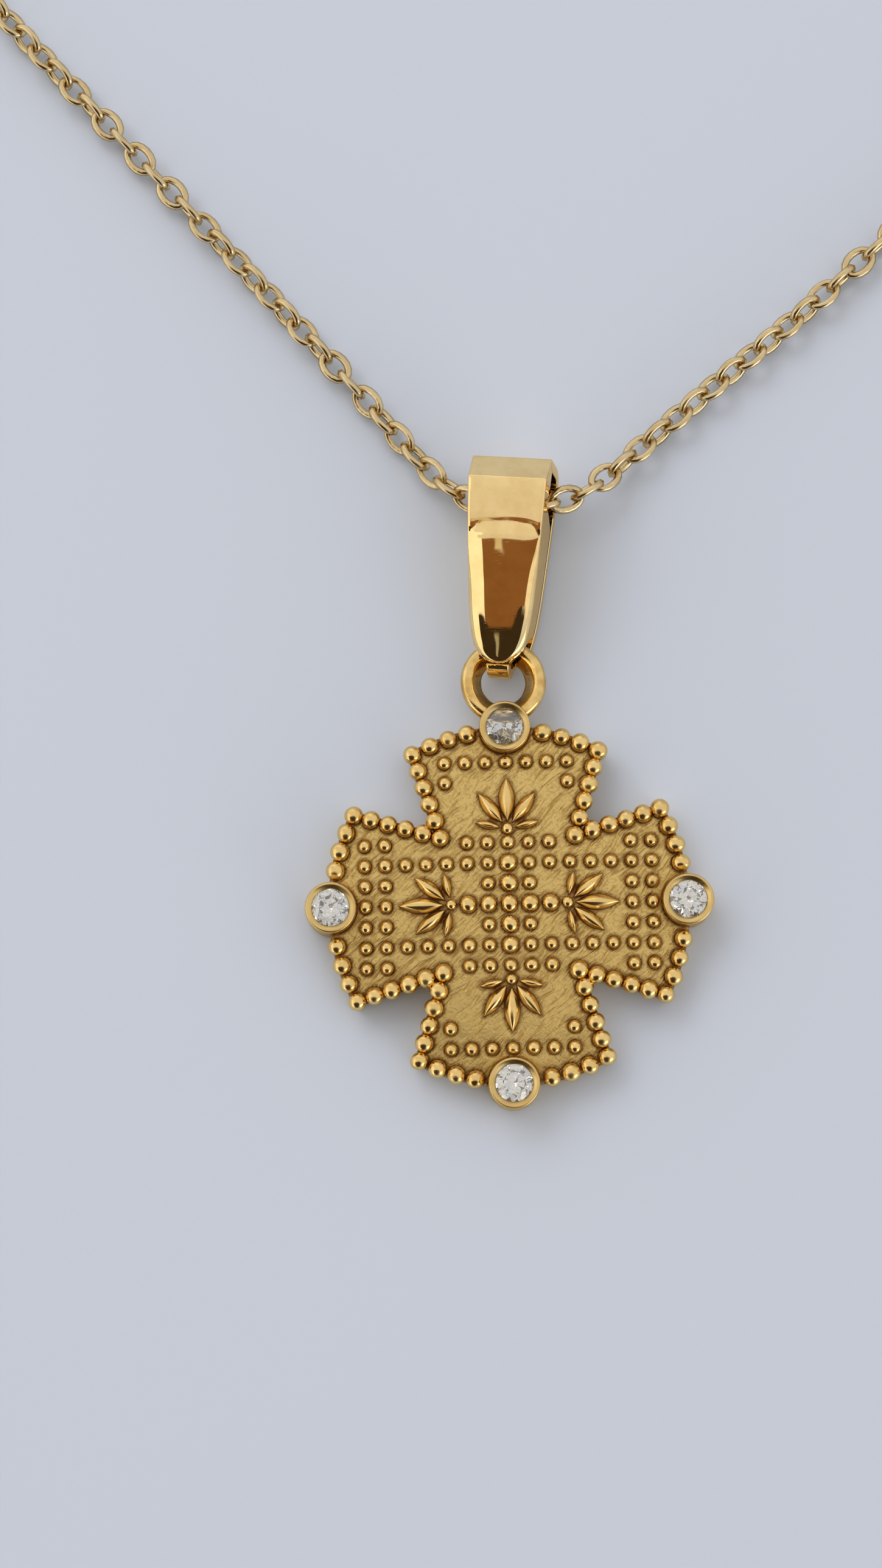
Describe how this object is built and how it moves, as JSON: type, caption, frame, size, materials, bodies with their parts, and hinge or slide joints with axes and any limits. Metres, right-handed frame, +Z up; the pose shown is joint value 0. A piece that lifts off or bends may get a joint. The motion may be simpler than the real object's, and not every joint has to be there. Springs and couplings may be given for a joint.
{
  "type": "cross necklace",
  "caption": "Gold pendant cross with beaded border, grains, leaf ornaments and four bezel-set stones, on a tapered bail and a fine cable chain.",
  "frame": {"origin": "on the surface, under the middle of the cross, on its flat back", "axes": "+X to the cross's right arm, +Y along the cross to the bail and the chain, +Z up from the surface"},
  "size_m": [0.1365, 0.1873, 0.0038],
  "materials": {
    "cast_gold": "cast gold, satin ground with polished beads",
    "polished_gold": "mirror polished gold",
    "chain_gold": "polished gold wire",
    "stone": "clear faceted stone"
  },
  "bodies": {
    "root": {"cross": "cast_gold", "stone_top": "stone", "stone_right": "stone", "stone_bottom": "stone", "stone_left": "stone", "bail": "polished_gold", "chain": "chain_gold", "clasp": "polished_gold"}
  },
  "joints": []
}
